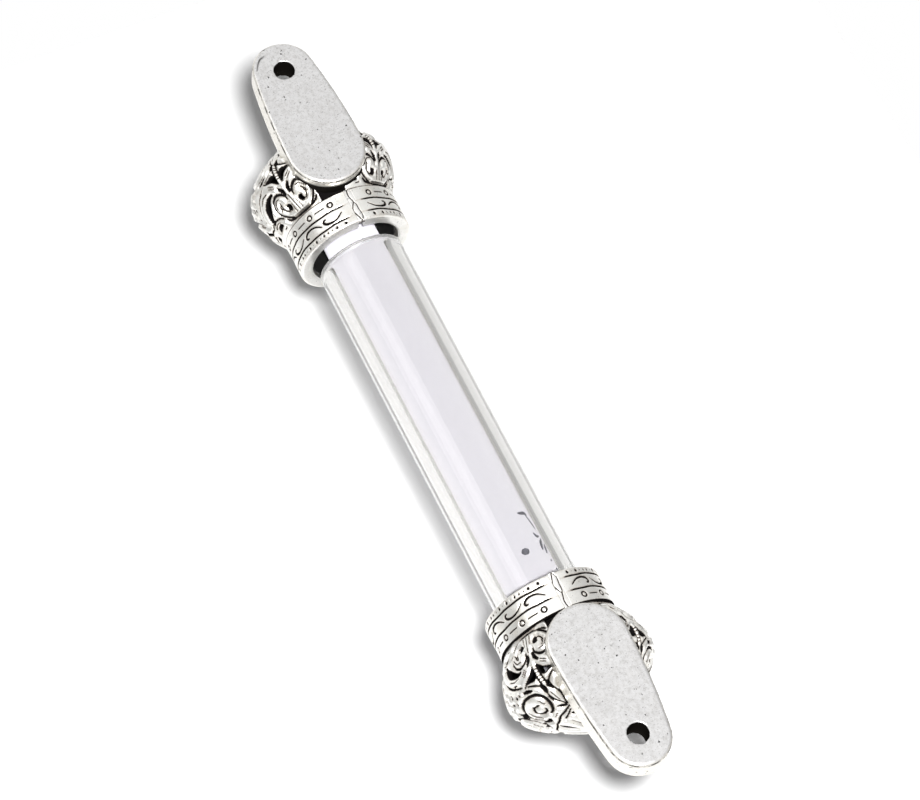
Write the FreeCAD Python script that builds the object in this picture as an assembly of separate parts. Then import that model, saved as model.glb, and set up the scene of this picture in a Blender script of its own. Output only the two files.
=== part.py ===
import FreeCAD, Part

import math
import os

# A wall-hung scroll case: a thick clear tube with a rolled sheet in it, held between two cast
# caps. Each cap is a collar, an openwork crown and a flat lug with one screw hole.
#
# Row frame, in millimetres: +Z runs up the tube, +Y points at the wall, and the lugs' flat backs
# lie in the plane y = 0. The origin is midway between the two screw holes.

# Driving dimensions.
TUBE_OUTER_R = 7.5
TUBE_INNER_R = 5.2
TUBE_TOP_Z = 33.4
SCROLL_OUTER_R = 5.05
SCROLL_LENGTH = 100.0
SCROLL_FROM_MOUTH = 20.0
SHEET_THICKNESS = 0.3
ROLL_PITCH = 0.45
ROLL_TURNS = 5
MOUTH_Z = 35.2
AXIS_TO_WALL = 12.65
COLLAR_OUTER_R = 10.1
COLLAR_BORE_R = 7.9
COLLAR_LENGTH = 6.4
COLLAR_EDGE_ROUND = 0.35
SEAM_WIDTH = 1.2
SEAM_OFFSET = 0.5
SEAT_POCKET_R = 8.7
SEAT_POCKET_DEPTH = 1.0
RUNNING_GAP = 0.05
SEAT_SKIRT_START = 1.0
SEAT_WINDOW_R = 5.35
CROWN_WALL = 1.4
CROWN_RIM_BORE_R = 8.0
CROWN_RIM_LENGTH = 1.0
CROWN_TIP = 23.9
LUG_THICKNESS = 4.6
LUG_INNER_END = 7.05
LUG_OUTER_END = 36.15
LUG_INNER_R = 6.7
LUG_OUTER_R = 5.3
LUG_WAIST_HALF_WIDTH = 6.3
LUG_SHOULDER_DEG = 9.6
LUG_BACK_ROUND = 0.5
LUG_FRONT_ROUND = 0.8
SCREW_HOLE_R = 1.76
SCREW_HOLE_FROM_MOUTH = 30.6
TUBE_CHAMFER = 0.3

# Worked out from the dimensions above.
SEAT_POCKET_START = COLLAR_LENGTH - SEAT_POCKET_DEPTH
LEDGE_FROM_MOUTH = SEAT_POCKET_START + RUNNING_GAP
TUBE_BOTTOM_Z = -(MOUTH_Z + LEDGE_FROM_MOUTH - RUNNING_GAP)
SCROLL_BOTTOM_Z = -(MOUTH_Z + SCROLL_FROM_MOUTH)

# The crown's outline as (radius, distance from the mouth), from the collar to the tip.
CROWN_OUTLINE = (
    (9.7, COLLAR_LENGTH),
    (10.7, 8.0),
    (11.8, 10.0),
    (12.5, 12.0),
    (12.8, 14.0),
    (12.3, 16.0),
    (10.8, 18.0),
    (8.2, 20.0),
    (4.8, 22.2),
    (2.0, 23.5),
    (0.0, CROWN_TIP),
)

# Rows of openings round the crown: distance from the mouth, number in a full turn, radius.
CROWN_OPENINGS = (
    (9.8, 12, 1.3),
    (13.6, 10, 2.0),
    (18.2, 8, 1.6),
)
# The lug covers this half-angle at the back of the crown, so no opening is made there.
LUG_SECTOR_DEG = 44.0

# Every cap is drawn mouth down at z = 0 with its axis on Z, and the wall on its +Y side.
Z_AXIS = FreeCAD.Vector(0, 0, 1)
Y_AXIS = FreeCAD.Vector(0, 1, 0)
ORIGIN = FreeCAD.Vector(0, 0, 0)


def ring(outer_r, inner_r, start, end):
    """A plain ring on the Z axis from z = start to z = end."""
    base = FreeCAD.Vector(0, 0, start)
    outside = Part.makeCylinder(outer_r, end - start, base, Z_AXIS)
    return outside.cut(Part.makeCylinder(inner_r, end - start, base, Z_AXIS))


def whole_band():
    """The collar as a closed band, with the seat's pocket at its crown end."""
    band = Part.makeCylinder(COLLAR_OUTER_R, COLLAR_LENGTH)
    mouth_edge = [edge for edge in band.Edges if edge.Closed and edge.CenterOfMass.z < 0.1]
    band = band.makeFillet(COLLAR_EDGE_ROUND, mouth_edge)
    band = band.cut(Part.makeCylinder(COLLAR_BORE_R, COLLAR_LENGTH))
    pocket_base = FreeCAD.Vector(0, 0, SEAT_POCKET_START)
    return band.cut(Part.makeCylinder(SEAT_POCKET_R, SEAT_POCKET_DEPTH, pocket_base, Z_AXIS))


def seam_slot():
    """The space between the two ends of the bent band, beside the middle of the back."""
    corner = FreeCAD.Vector(-SEAM_OFFSET - SEAM_WIDTH / 2, 0, 0)
    return Part.makeBox(SEAM_WIDTH, COLLAR_OUTER_R, COLLAR_LENGTH, corner)


def collar():
    """The band that was bent round into a ring, open at its seam."""
    return whole_band().cut(seam_slot())


def seam():
    """The solder that fills the gap between the band's ends."""
    return whole_band().common(seam_slot())


def seat():
    """The bush in the collar: a thin skirt round the tube and a ledge that its end stops on."""
    skirt = ring(
        COLLAR_BORE_R - RUNNING_GAP,
        TUBE_OUTER_R + RUNNING_GAP,
        SEAT_SKIRT_START,
        LEDGE_FROM_MOUTH,
    )
    ledge = ring(
        SEAT_POCKET_R - RUNNING_GAP,
        SEAT_WINDOW_R,
        LEDGE_FROM_MOUTH,
        COLLAR_LENGTH - RUNNING_GAP,
    )
    return skirt.fuse(ledge).removeSplitter()


def inside_outline():
    """The crown's inner outline: each outline point moved in by the wall's thickness."""
    moved = []
    for before, here, after in zip(CROWN_OUTLINE, CROWN_OUTLINE[1:], CROWN_OUTLINE[2:]):
        along_r = after[0] - before[0]
        along_s = after[1] - before[1]
        length = math.hypot(along_r, along_s)
        moved.append((
            here[0] - CROWN_WALL * along_s / length,
            here[1] + CROWN_WALL * along_r / length,
        ))
    return moved


def profile_curve(points):
    """A smooth edge through (radius, distance) points in the XZ plane."""
    curve = Part.BSplineCurve()
    curve.interpolate([FreeCAD.Vector(radius, 0, along) for radius, along in points])
    return curve.toShape()


def crown_shell():
    """The crown before it is pierced: a bulb with one wall, open at the collar end."""
    rim_end = COLLAR_LENGTH + CROWN_RIM_LENGTH
    inner = [point for point in inside_outline() if point[1] > rim_end and point[0] > 0.5]
    inner.append((0.0, CROWN_TIP - CROWN_WALL))
    inner.insert(0, (CROWN_RIM_BORE_R, rim_end))
    outside_edge = profile_curve(CROWN_OUTLINE)
    inside_edge = profile_curve(inner)
    corners = [
        (CROWN_RIM_BORE_R, rim_end),
        (CROWN_RIM_BORE_R, COLLAR_LENGTH),
        CROWN_OUTLINE[0],
    ]
    straight = Part.makePolygon([FreeCAD.Vector(radius, 0, along) for radius, along in corners])
    tip = Part.makeLine(
        FreeCAD.Vector(0, 0, CROWN_TIP),
        FreeCAD.Vector(0, 0, CROWN_TIP - CROWN_WALL),
    )
    wire = Part.Wire(Part.__sortEdges__([outside_edge, inside_edge, tip] + straight.Edges))
    return Part.Face(wire).revolve(ORIGIN, Z_AXIS, 360)


def crown_piercings():
    """Radial cutters for the openwork, clear of the lug."""
    cutters = []
    for along, count, radius in CROWN_OPENINGS:
        for index in range(count):
            angle = 90.0 + 360.0 * (index + 0.5) / count
            from_back = abs((angle - 90.0 + 180.0) % 360.0 - 180.0)
            if from_back < LUG_SECTOR_DEG:
                continue
            heading = FreeCAD.Vector(math.cos(math.radians(angle)), math.sin(math.radians(angle)), 0)
            start = FreeCAD.Vector(0, 0, along)
            cutters.append(Part.makeCylinder(radius, COLLAR_OUTER_R * 2, start, heading))
    return Part.makeCompound(cutters)


def lug_outline():
    """The lug's outline in the plane of its flat back: two round ends and two bowed sides."""
    inner_centre = LUG_INNER_END + LUG_INNER_R
    outer_centre = LUG_OUTER_END - LUG_OUTER_R
    shoulder_x = LUG_OUTER_R * math.cos(math.radians(LUG_SHOULDER_DEG))
    shoulder_s = outer_centre + LUG_OUTER_R * math.sin(math.radians(LUG_SHOULDER_DEG))
    middle_s = (inner_centre + shoulder_s) / 2

    def arc(*points):
        return Part.Arc(*[FreeCAD.Vector(x, AXIS_TO_WALL, along) for x, along in points]).toShape()

    return Part.Wire([
        arc((-LUG_INNER_R, inner_centre), (0, LUG_INNER_END), (LUG_INNER_R, inner_centre)),
        arc((LUG_INNER_R, inner_centre), (LUG_WAIST_HALF_WIDTH, middle_s), (shoulder_x, shoulder_s)),
        arc((shoulder_x, shoulder_s), (0, LUG_OUTER_END), (-shoulder_x, shoulder_s)),
        arc((-shoulder_x, shoulder_s), (-LUG_WAIST_HALF_WIDTH, middle_s), (-LUG_INNER_R, inner_centre)),
    ])


def lug_blank(extra=0.0):
    """The lug with square edges and no hole, and some extra height above its back."""
    blank = Part.Face(lug_outline()).extrude(Y_AXIS * -(LUG_THICKNESS + extra))
    blank.translate(Y_AXIS * extra)
    return blank


def edges_at_y(shape, y):
    """The edges that lie whole in the plane at this y."""
    return [
        edge for edge in shape.Edges
        if abs(edge.BoundBox.YMin - y) < 0.01 and abs(edge.BoundBox.YMax - y) < 0.01
    ]


def lug():
    """The flat lug with rounded edges and a screw hole."""
    front_y = AXIS_TO_WALL - LUG_THICKNESS
    body = lug_blank()
    body = body.makeFillet(LUG_BACK_ROUND, edges_at_y(body, AXIS_TO_WALL))
    body = body.makeFillet(LUG_FRONT_ROUND, edges_at_y(body, front_y))
    hole_base = FreeCAD.Vector(0, front_y, SCREW_HOLE_FROM_MOUTH)
    return body.cut(Part.makeCylinder(SCREW_HOLE_R, LUG_THICKNESS, hole_base, Y_AXIS))


def crown():
    """The openwork crown, cut away where the lug is set into its back."""
    return crown_shell().cut(crown_piercings()).cut(lug_blank(extra=CROWN_WALL))


def tube():
    """The thick clear tube, its outer corners broken at both ends."""
    body = Part.makeCylinder(
        TUBE_OUTER_R,
        TUBE_TOP_Z - TUBE_BOTTOM_Z,
        FreeCAD.Vector(0, -AXIS_TO_WALL, TUBE_BOTTOM_Z),
    )
    body = body.makeChamfer(TUBE_CHAMFER, [edge for edge in body.Edges if edge.Closed])
    bore = Part.makeCylinder(
        TUBE_INNER_R,
        TUBE_TOP_Z - TUBE_BOTTOM_Z,
        FreeCAD.Vector(0, -AXIS_TO_WALL, TUBE_BOTTOM_Z),
    )
    return body.cut(bore)


def roll_edges(outer_r):
    """Half circles on two centres that wind inwards by one pitch a turn."""
    edges = []
    centre_x = ROLL_PITCH / 4
    side = 1
    radius = outer_r
    for index in range(2 * ROLL_TURNS):
        points = [
            FreeCAD.Vector(centre_x + side * radius, 0, 0),
            FreeCAD.Vector(centre_x, side * radius, 0),
            FreeCAD.Vector(centre_x - side * radius, 0, 0),
        ]
        edges.append(Part.Arc(*points).toShape())
        centre_x -= side * ROLL_PITCH / 2
        radius -= ROLL_PITCH / 2
        side = -side
    return edges


def scroll():
    """The sheet, rolled up with a small gap between its turns."""
    outer_r = SCROLL_OUTER_R - ROLL_PITCH / 4
    outside = roll_edges(outer_r)
    inside = roll_edges(outer_r - SHEET_THICKNESS)
    start = Part.makeLine(outside[0].Vertexes[0].Point, inside[0].Vertexes[0].Point)
    end = Part.makeLine(outside[-1].Vertexes[-1].Point, inside[-1].Vertexes[-1].Point)
    wire = Part.Wire(Part.__sortEdges__(outside + inside + [start, end]))
    sheet = Part.Face(wire).extrude(Z_AXIS * SCROLL_LENGTH)
    sheet.translate(FreeCAD.Vector(0, -AXIS_TO_WALL, SCROLL_BOTTOM_Z))
    return sheet


def place_cap_piece(shape, upper):
    """Moves a piece of a cap to the top of the case, or its mirror image to the bottom."""
    placed = shape.copy()
    placed.translate(FreeCAD.Vector(0, -AXIS_TO_WALL, MOUTH_Z))
    return placed if upper else placed.mirror(ORIGIN, Z_AXIS)


def write(name, shape):
    """Writes one sub-part, which has to be a single valid solid."""
    if not shape.isValid() or len(shape.Solids) != 1:
        raise ValueError(f"{name}: {len(shape.Solids)} solids, valid {shape.isValid()}")
    shape.Solids[0].exportStep(f"parts/{name}.step")
    print(f"{name}: {shape.Volume:.1f} mm3")


def main():
    os.makedirs("parts", exist_ok=True)
    write("tube", tube())
    write("scroll", scroll())
    cap_pieces = {"collar": collar(), "seam": seam(), "seat": seat(), "crown": crown(), "lug": lug()}
    for name, shape in cap_pieces.items():
        write(f"upper_{name}", place_cap_piece(shape, True))
        write(f"lower_{name}", place_cap_piece(shape, False))


main()
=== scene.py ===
import math

import bmesh
import bpy
import numpy as np
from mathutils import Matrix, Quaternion, Vector

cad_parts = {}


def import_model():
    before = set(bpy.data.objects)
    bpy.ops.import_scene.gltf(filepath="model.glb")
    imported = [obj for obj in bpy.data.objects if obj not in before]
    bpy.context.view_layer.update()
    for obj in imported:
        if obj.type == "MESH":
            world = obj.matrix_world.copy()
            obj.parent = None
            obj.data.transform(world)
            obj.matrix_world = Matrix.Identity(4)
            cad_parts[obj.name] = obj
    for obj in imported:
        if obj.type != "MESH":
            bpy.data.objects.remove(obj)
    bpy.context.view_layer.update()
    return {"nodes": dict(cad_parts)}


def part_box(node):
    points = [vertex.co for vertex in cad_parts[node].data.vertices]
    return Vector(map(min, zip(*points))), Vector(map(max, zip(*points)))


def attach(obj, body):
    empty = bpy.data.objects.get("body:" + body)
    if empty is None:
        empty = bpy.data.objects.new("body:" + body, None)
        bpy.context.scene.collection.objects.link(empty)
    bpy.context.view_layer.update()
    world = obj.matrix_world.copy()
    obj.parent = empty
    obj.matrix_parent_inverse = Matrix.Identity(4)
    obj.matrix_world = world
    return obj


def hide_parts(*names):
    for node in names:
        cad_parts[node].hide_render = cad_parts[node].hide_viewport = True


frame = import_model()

# ---------------------------------------------------------------------------------------------
# Sizes. Lengths are in metres where they meet Blender; patterns are laid out in millimetres.
# ---------------------------------------------------------------------------------------------
MM = 0.001
CAPS = ("upper", "lower")

tube_low, tube_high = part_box("tube")
collar_low, collar_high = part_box("upper_collar")
crown_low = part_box("upper_crown")[0]
lug_low, lug_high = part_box("upper_lug")
scroll_low, scroll_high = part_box("scroll")

AXIS_Y = (tube_low.y + tube_high.y) / 2
TUBE_R = (tube_high.x - tube_low.x) / 2
MOUTH_Z = collar_low.z
COLLAR_R = (collar_high.x - collar_low.x) / 2 / MM
COLLAR_LENGTH = (collar_high.z - collar_low.z) / MM
TUBE_BORE_R = 5.2
COLLAR_BORE_R = 7.9
SEAT_POCKET_R = 8.7
SEAT_POCKET_DEPTH = 1.0
# The seam beside the middle of the back: its angle from the wall side, towards -X, in degrees.
SEAM_DEG = 2.85
SEAM_HALF_DEG = 3.4
LUG_INNER_END = (lug_low.z - MOUTH_Z) / MM
LUG_INNER_R = (lug_high.x - lug_low.x) / 2 / MM
LUG_THICKNESS = (lug_high.y - lug_low.y) / MM
HOLE_HALF_SPACING = 65.8
HOLE_R = 1.76


# ---------------------------------------------------------------------------------------------
# Small tools
# ---------------------------------------------------------------------------------------------
def smooth_through(points, spacing):
    """A dense Catmull-Rom curve through points of any dimension, as an array. spacing is the
    distance between its points in the plane of their first two numbers."""
    p = np.array(points, float)
    if len(p) == 2:
        count = max(2, int(np.linalg.norm(p[1, :2] - p[0, :2]) / spacing))
        return p[0] + np.linspace(0, 1, count)[:, None] * (p[1] - p[0])
    p = np.vstack([2 * p[0] - p[1], p, 2 * p[-1] - p[-2]])
    pieces = []
    for a, b, c, d in zip(p, p[1:], p[2:], p[3:]):
        count = max(3, int(np.linalg.norm(c[:2] - b[:2]) / spacing))
        u = np.linspace(0, 1, count, endpoint=False)[:, None]
        quadratic = 2 * a - 5 * b + 4 * c - d
        cubic = 3 * b - a - 3 * c + d
        pieces.append(0.5 * (2 * b + (c - a) * u + quadratic * u**2 + cubic * u**3))
    return np.vstack(pieces + [p[-2][None]])


def ramp(value, start, end):
    """A smooth step from 0 at start to 1 at end."""
    u = np.clip((value - start) / (end - start), 0, 1)
    return u * u * (3 - 2 * u)


def new_object(name, vertices, faces, materials, smooth=True):
    """A mesh object from arrays of points in metres and lists of faces."""
    mesh = bpy.data.meshes.new(name)
    mesh.from_pydata([tuple(v) for v in vertices], [], [tuple(f) for f in faces])
    mesh.validate()
    for material in materials:
        mesh.materials.append(material)
    if smooth:
        mesh.shade_smooth()
    made = bpy.data.objects.new(name, mesh)
    bpy.context.scene.collection.objects.link(made)
    return made


def paint(piece, name, values):
    """Stores one number per vertex, which the materials read."""
    layer = piece.data.attributes.new(name, "FLOAT", "POINT")
    layer.data.foreach_set("value", np.asarray(values, np.float32))


def face_outwards(piece):
    """Turns every face of a closed mesh outwards."""
    work = bmesh.new()
    work.from_mesh(piece.data)
    bmesh.ops.recalc_face_normals(work, faces=work.faces)
    work.to_mesh(piece.data)
    work.free()


def slab(top, under):
    """A closed solid between two layers of the same grid of points."""
    rows, columns = top.shape[:2]
    points = np.concatenate([top.reshape(-1, 3), under.reshape(-1, 3)])
    layer = rows * columns
    faces = []
    for row in range(rows - 1):
        for column in range(columns - 1):
            a = row * columns + column
            quad = (a, a + 1, a + columns + 1, a + columns)
            faces.append(quad)
            faces.append(tuple(layer + i for i in reversed(quad)))
    for column in range(columns - 1):
        for a in (column, (rows - 1) * columns + column):
            faces.append((a, a + 1, layer + a + 1, layer + a))
    for row in range(rows - 1):
        for a in (row * columns, (row + 1) * columns - 1):
            faces.append((a, a + columns, layer + a + columns, layer + a))
    return points, faces


def about_axis(theta, radius, height):
    """Points about the tube's axis: the angle from the wall side towards -X in radians, and the
    radius and the height in millimetres."""
    theta, radius, height = np.broadcast_arrays(theta, radius, height)
    x = -radius * np.sin(theta) * MM
    y = AXIS_Y + radius * np.cos(theta) * MM
    return np.stack([x, y, height * MM], axis=-1)


def on_cap(cap, theta, radius, along):
    """As about_axis, on a cap: along is the distance from the cap's mouth."""
    up = 1 if cap == "upper" else -1
    return about_axis(theta, radius, up * (MOUTH_Z / MM + along))


# ---------------------------------------------------------------------------------------------
# Materials
# ---------------------------------------------------------------------------------------------
# The Mix node's sockets share their names, so that only their numbers tell them apart.
MIX_COLOUR_A, MIX_COLOUR_B, MIX_COLOUR_RESULT = 6, 7, 2
MIX_FACTOR, MIX_NUMBER_A, MIX_NUMBER_B, MIX_NUMBER_RESULT = 0, 2, 3, 0


class Tree:
    """A short way to build a node tree."""

    def __init__(self, tree):
        self.tree = tree

    def add(self, kind, **settings):
        node = self.tree.nodes.new(kind)
        for key, value in settings.items():
            setattr(node, key, value)
        return node

    def link(self, source, target):
        self.tree.links.new(source, target)

    def stretch(self, value, low, high, to_low=0.0, to_high=1.0):
        """Maps low..high to to_low..to_high, and stops at both ends."""
        node = self.add("ShaderNodeMapRange")
        node.inputs["From Min"].default_value = low
        node.inputs["From Max"].default_value = high
        node.inputs["To Min"].default_value = to_low
        node.inputs["To Max"].default_value = to_high
        self.link(value, node.inputs["Value"])
        return node.outputs["Result"]

    def choose(self, factor, otherwise, chosen):
        """chosen, a socket or a number, where factor is 1; the socket otherwise where it is 0."""
        node = self.add("ShaderNodeMix", data_type="FLOAT")
        self.link(factor, node.inputs[MIX_FACTOR])
        self.link(otherwise, node.inputs[MIX_NUMBER_A])
        if isinstance(chosen, float):
            node.inputs[MIX_NUMBER_B].default_value = chosen
        else:
            self.link(chosen, node.inputs[MIX_NUMBER_B])
        return node.outputs[MIX_NUMBER_RESULT]


class Nodes(Tree):
    """One material's node tree."""

    def __init__(self, name):
        self.material = bpy.data.materials.new(name)
        self.material.use_nodes = True
        super().__init__(self.material.node_tree)
        self.shader = self.tree.nodes["Principled BSDF"]
        self.output = self.tree.nodes["Material Output"]

    def place(self):
        """Object coordinates, in metres."""
        return self.add("ShaderNodeTexCoord").outputs["Object"]

    def noise(self, scale, detail, roughness):
        node = self.add("ShaderNodeTexNoise")
        node.inputs["Scale"].default_value = scale
        node.inputs["Detail"].default_value = detail
        node.inputs["Roughness"].default_value = roughness
        self.link(self.place(), node.inputs["Vector"])
        return node.outputs["Fac"]

    def calculate(self, operation, a, b):
        """Puts two sockets through one sum, and keeps its result between 0 and 1."""
        node = self.add("ShaderNodeMath", operation=operation, use_clamp=True)
        self.link(a, node.inputs[0])
        self.link(b, node.inputs[1])
        return node.outputs["Value"]

    def blend(self, factor, a, b):
        """Mixes two colours, each a tuple or a socket."""
        node = self.add("ShaderNodeMix", data_type="RGBA")
        self.link(factor, node.inputs["Factor"])
        for index, value in ((MIX_COLOUR_A, a), (MIX_COLOUR_B, b)):
            if isinstance(value, tuple):
                node.inputs[index].default_value = (*value, 1)
            else:
                self.link(value, node.inputs[index])
        return node.outputs[MIX_COLOUR_RESULT]

    def attribute(self, name):
        return self.add("ShaderNodeAttribute", attribute_name=name).outputs["Fac"]

    def bump(self, height, distance, strength):
        node = self.add("ShaderNodeBump")
        node.inputs["Distance"].default_value = distance
        node.inputs["Strength"].default_value = strength
        self.link(height, node.inputs["Height"])
        self.link(node.outputs["Normal"], self.shader.inputs["Normal"])

    def clear_where(self, factor, passes):
        """Gives way from the main shader to a transparent one as factor goes from 0 to 1."""
        mix = self.add("ShaderNodeMixShader")
        self.link(factor, mix.inputs["Fac"])
        self.link(self.shader.outputs["BSDF"], mix.inputs[1])
        self.link(passes.outputs["BSDF"], mix.inputs[2])
        self.link(mix.outputs["Shader"], self.output.inputs["Surface"])

    def blackened(self, metal, black, dark, shine, dulling):
        """Metal where dark is 0, and dull black where it is 1: a black coat in recesses, or painted
        shade.
        """
        self.link(self.blend(dark, metal, black), self.shader.inputs["Base Color"])
        self.link(self.stretch(dark, 0, 1, 1.0, 0.0), self.shader.inputs["Metallic"])
        self.link(self.stretch(dark, 0, 1, 0.5, 0.0), self.shader.inputs["Specular IOR Level"])
        rough = self.calculate("ADD", shine, self.stretch(dark, 0, 1, 0, dulling))
        self.link(rough, self.shader.inputs["Roughness"])


def antique_silver(name, bright, haze, pit_amount):
    """Bright cast silver plate with black left in its recesses and in small pits, and black or darker
    tones painted as shade where the pieces put them.
    """
    n = Nodes(name)
    # The soot attribute: real black in the recesses, plus black and darker tones painted where shade
    # falls
    patina_and_shade = n.attribute("patina_and_shade")
    grain = n.noise(2600, 4, 0.6)
    pits = n.stretch(n.noise(3000, 4, 0.7), 0.62 - pit_amount, 0.70 - pit_amount, 0.0, 0.85)
    rough_patina_and_shade = n.calculate("ADD", patina_and_shade, n.stretch(grain, 0.35, 0.75, -0.12, 0.14))
    dark = n.calculate("MAXIMUM", n.stretch(rough_patina_and_shade, 0.28, 0.60), pits)
    stain_and_shade = n.stretch(rough_patina_and_shade, 0.05, 0.4)
    silver = n.blend(n.stretch(n.noise(420, 3, 0.5), 0.35, 0.7), bright, haze)
    oxide = n.stretch(n.noise(330, 4, 0.6), 0.54, 0.68, 0.0, 0.55)
    silver = n.blend(oxide, silver, (0.78, 0.74, 0.66))
    warm = n.blend(stain_and_shade, silver, (0.60, 0.54, 0.48))
    shine = n.stretch(n.noise(900, 3, 0.5), 0.3, 0.7, 0.28, 0.42)
    n.blackened(warm, (0.008, 0.007, 0.007), dark, shine, dulling=0.35)
    n.bump(grain, 0.00004, 0.5)
    return n.material


def lug_silver():
    """The lug's satin face, finely speckled with dark pits. Its edge is painted a lighter cream, a
    painted highlight, and keeps a broken dark line; its hole's wall is painted black as shade."""
    n = Nodes("lug_silver")
    cloud = n.stretch(n.noise(260, 4, 0.6), 0.3, 0.7)
    face = n.blend(cloud, (0.74, 0.735, 0.735), (0.68, 0.672, 0.668))
    face = n.blend(n.stretch(n.noise(1300, 4, 0.75), 0.46, 0.72), face, (0.53, 0.52, 0.505))
    # Painted highlight: the rounded edge and sides are lighter and cream
    face = n.blend(n.attribute("edge"), face, (0.76, 0.735, 0.68))
    fine = n.stretch(n.noise(3600, 3, 0.75), 0.56, 0.78, 0.0, 0.85)
    pits = n.stretch(n.noise(1500, 2, 0.5), 0.685, 0.72)
    gaps = n.stretch(n.noise(450, 4, 0.7), 0.44, 0.52)
    broken = n.calculate("MULTIPLY", n.attribute("line"), gaps)
    speckles = n.calculate("MAXIMUM", fine, pits)
    lines = n.calculate("MAXIMUM", n.attribute("patina_and_shade"), broken)
    dark = n.calculate("MAXIMUM", speckles, lines)
    shine = n.stretch(n.noise(700, 3, 0.5), 0.3, 0.7, 0.27, 0.34)
    n.blackened(face, (0.008, 0.007, 0.006), dark, shine, dulling=0.3)
    n.bump(n.noise(2200, 3, 0.5), 0.00006, 0.4)
    return n.material


def clear_acrylic():
    """Clear tube. Light passes straight through it to the sheet inside, except where it only
    grazes the outside: the thick wall bends it aside there, and the tube's edge casts a shadow."""
    n = Nodes("clear_acrylic")
    n.shader.inputs["Base Color"].default_value = (0.70, 0.695, 0.68, 1)
    n.shader.inputs["Transmission Weight"].default_value = 1.0
    n.shader.inputs["IOR"].default_value = 1.49
    polish = n.stretch(n.noise(500, 2, 0.5), 0.3, 0.7, 0.01, 0.03)
    sawn = n.stretch(n.attribute("sawn"), 0, 1, 0, 0.55)
    n.link(n.calculate("ADD", polish, sawn), n.shader.inputs["Roughness"])
    grazing = n.add("ShaderNodeLayerWeight").outputs["Facing"]
    bent = n.calculate("MULTIPLY", n.stretch(grazing, 0.27, 0.45), n.attribute("outside"))
    passes = n.add("ShaderNodeBsdfTransparent")
    n.link(n.blend(bent, (0.97, 0.97, 0.97), (0.30, 0.30, 0.30)), passes.inputs["Color"])
    path = n.add("ShaderNodeLightPath").outputs
    n.clear_where(n.calculate("MAXIMUM", path["Is Shadow Ray"], path["Is Diffuse Ray"]), passes)
    return n.material


def paper():
    """Smooth white sheet with a faint fibre mottle."""
    n = Nodes("paper")
    mottle = n.stretch(n.noise(1500, 5, 0.6), 0.3, 0.7)
    n.link(n.blend(mottle, (0.69, 0.68, 0.73), (0.72, 0.71, 0.76)), n.shader.inputs["Base Color"])
    n.shader.inputs["Diffuse Roughness"].default_value = 1.0
    n.shader.inputs["Roughness"].default_value = 0.6
    n.bump(n.noise(3000, 4, 0.6), 0.00003, 0.3)
    return n.material


def ink():
    """Dark ink, a little uneven."""
    n = Nodes("ink")
    mottle = n.stretch(n.noise(2500, 3, 0.5), 0.3, 0.7)
    n.link(n.blend(mottle, (0.05, 0.05, 0.07), (0.13, 0.13, 0.16)), n.shader.inputs["Base Color"])
    n.shader.inputs["Roughness"].default_value = 0.7
    return n.material


def black_plastic():
    """The bushes: matt black, slightly scuffed."""
    n = Nodes("black_plastic")
    mottle = n.stretch(n.noise(1200, 4, 0.6), 0.3, 0.7)
    n.link(n.blend(mottle, (0.007, 0.007, 0.007), (0.014, 0.013, 0.013)), n.shader.inputs["Base Color"])
    n.shader.inputs["Specular IOR Level"].default_value = 0.25
    n.link(n.stretch(n.noise(900, 3, 0.5), 0.3, 0.7, 0.5, 0.7), n.shader.inputs["Roughness"])
    n.bump(n.noise(4000, 3, 0.5), 0.00003, 0.3)
    return n.material


# ---------------------------------------------------------------------------------------------
# Strokes: a cut is a curve with a half-width along it, all in millimetres on the surface.
# ---------------------------------------------------------------------------------------------
STROKE_STEP = 0.12
FAR = 99.0


def cut_distance(stroke, angle, along, radius):
    """How far each place is outside a stroke's edge. The stroke's points are (degrees, mm, half
    width), and a place's degrees count by the radius that it lies at."""
    found = np.full(angle.shape, FAR)
    per_degree = radius * math.pi / 180
    for a, t, w in smooth_through(stroke, STROKE_STEP):
        found = np.minimum(found, np.hypot((angle - a) * per_degree, along - t) - w)
    return found


# ---------------------------------------------------------------------------------------------
# Crown: a bulb of openwork. Its pattern is one half-cell of 45 degrees, mirrored eight times.
# ---------------------------------------------------------------------------------------------
CROWN_OUTLINE = (
    (9.7, 6.4), (10.7, 8.0), (11.8, 10.0), (12.5, 12.0), (12.8, 14.0), (12.3, 16.0),
    (10.8, 18.0), (8.2, 20.0), (4.8, 22.2), (2.0, 23.5), (0.3, 23.88),
)
CROWN_WALL = 1.3
# The inside stops at the collar's end, where the outline starts.
CROWN_FOOT = CROWN_OUTLINE[0][1]
HALF_CELL_DEG = 45.0
HALF_CELL_COLUMNS = 50
CROWN_ROWS = 138
# How deep the surface falls towards every cut, and within how far of it.
RELIEF = 0.40
ROUNDING = 0.45
# How much deeper it goes in openings, in outlines, in ticks and beside the lug.
OPENING_DEPTH = 0.35
OUTLINE_DEPTH = 0.22
TICK_DEPTH = 0.13
BESIDE_LUG_DEPTH = 0.7
# The drawn widths of the outlines and ticks below are for a light hand; the casting is bolder.
OUTLINE_BOLDER = 0.07
TICK_BOLDER = 0.03
OPENING_BOLDER = 0.11

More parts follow.
